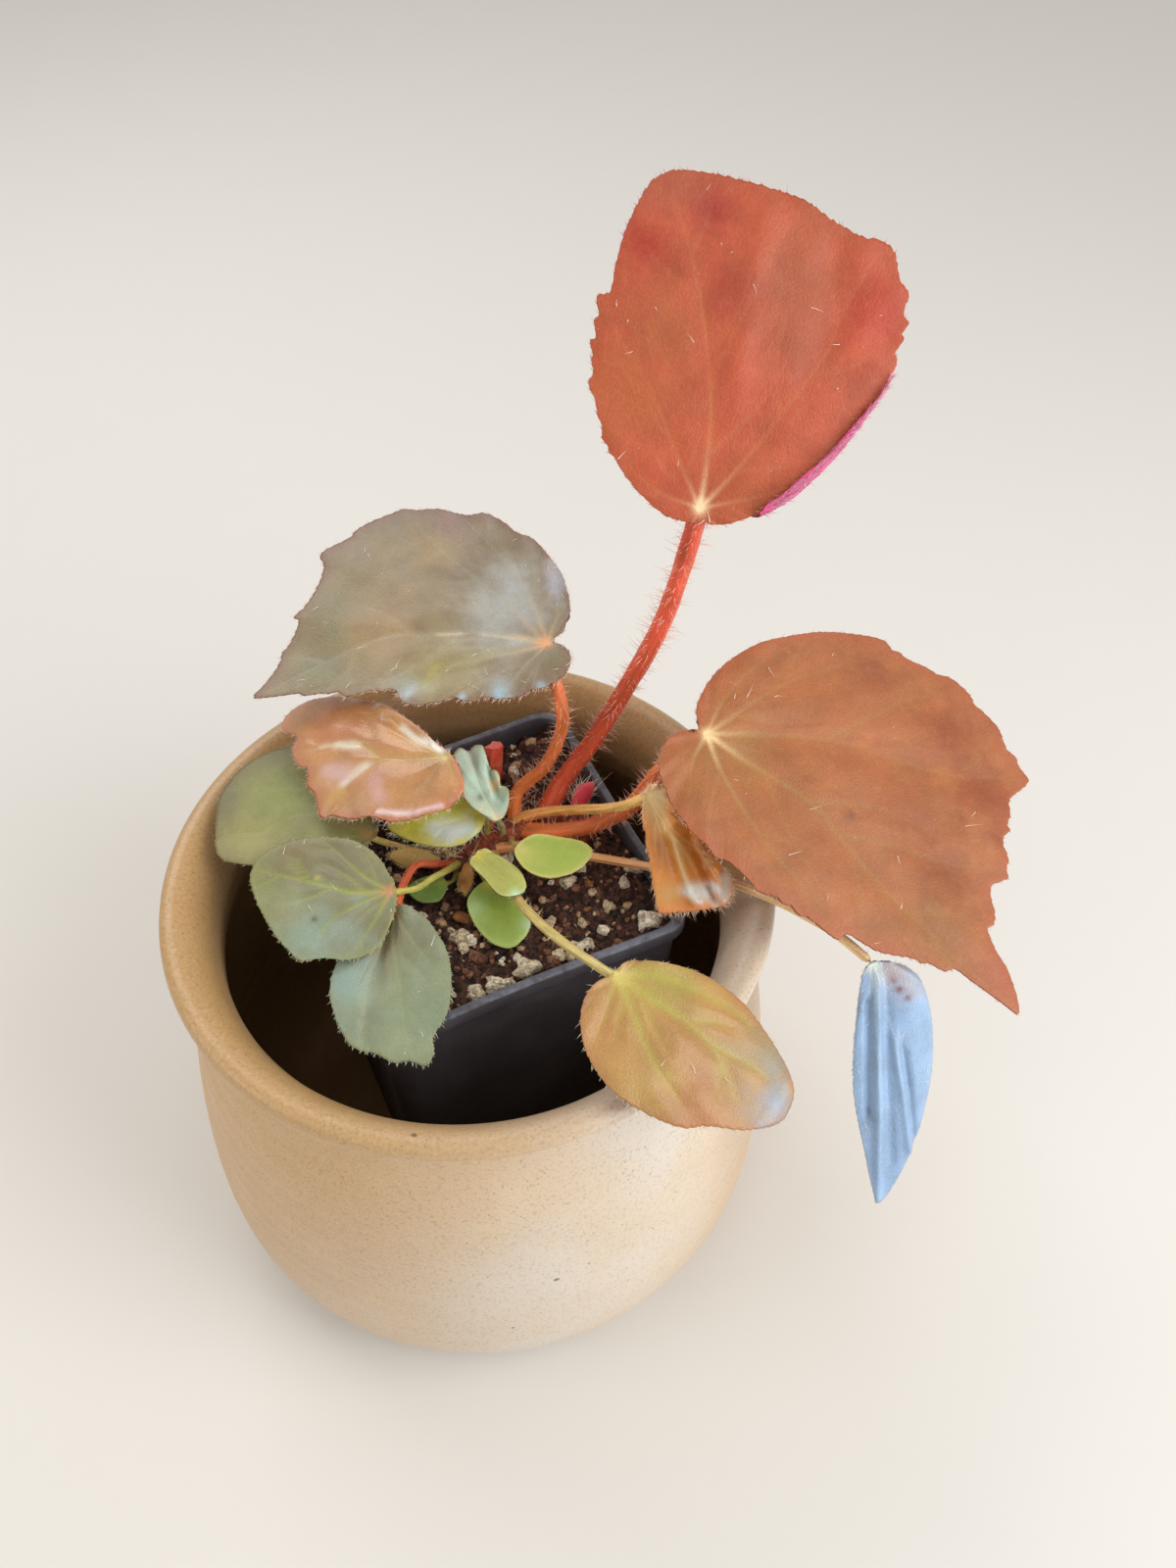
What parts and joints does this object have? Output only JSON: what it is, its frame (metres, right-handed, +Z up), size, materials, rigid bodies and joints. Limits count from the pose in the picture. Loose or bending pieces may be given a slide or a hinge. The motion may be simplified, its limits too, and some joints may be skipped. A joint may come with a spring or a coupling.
{
  "type": "potted begonia",
  "caption": "Rhizomatous garnet-leaved begonia with toothed, lopsided leaves on hairy stems, in a square nursery pot set inside a round-bellied stoneware cover pot.",
  "frame": {"origin": "centre of the cover pot's foot, on the surface it stands on", "axes": "+Z up along the cover pot's axis; the picture looks along +Y; +X is the picture's right"},
  "size_m": [0.2199, 0.1683, 0.2645],
  "materials": {
    "stoneware": "satin",
    "black_plastic": "satin",
    "potting_mix": "matte",
    "rhizome_skin": "satin",
    "bud_red": "satin",
    "leaf_red": "satin",
    "leaf_rust": "satin",
    "leaf_grey": "satin",
    "leaf_copper": "gloss",
    "leaf_olive": "satin",
    "leaf_blue_green": "satin",
    "leaf_bronze": "satin",
    "leaf_slate": "satin",
    "leaf_green": "satin",
    "stem_red": "satin",
    "stem_tan": "satin",
    "stem_green": "satin",
    "bract": "matte",
    "bract_pink": "matte"
  },
  "bodies": {
    "root": {"cover_pot": "stoneware", "nursery_pot": "black_plastic", "soil": "potting_mix", "rhizome": "rhizome_skin", "bud": "bud_red", "leaf_tall": "leaf_red", "leaf_right": "leaf_rust", "leaf_grey": "leaf_grey", "leaf_copper": "leaf_copper", "leaf_olive": "leaf_olive", "leaf_blue_green": "leaf_blue_green", "leaf_hanging": "leaf_blue_green", "leaf_bronze": "leaf_bronze", "leaf_curled": "leaf_copper", "leaf_slate": "leaf_slate", "leaf_lime": "leaf_green", "leaf_young": "leaf_blue_green", "leaf_oval": "leaf_green", "leaf_mint": "leaf_green", "leaf_low": "leaf_green", "leaf_shy": "leaf_green", "petiole_tall": "stem_red", "petiole_right": "stem_red", "petiole_grey": "stem_red", "petiole_copper": "stem_red", "petiole_hanging": "stem_red", "petiole_curled": "stem_tan", "petiole_slate": "stem_tan", "petiole_olive": "stem_green", "petiole_blue_green": "stem_green", "petiole_bronze": "stem_green", "petiole_lime": "stem_green", "petiole_young": "stem_green", "petiole_oval": "stem_green", "petiole_mint": "stem_green", "petiole_low": "stem_green", "petiole_shy": "stem_green", "bract_olive": "bract", "bract_amber": "bract", "bract_pink": "bract_pink"}
  },
  "joints": []
}
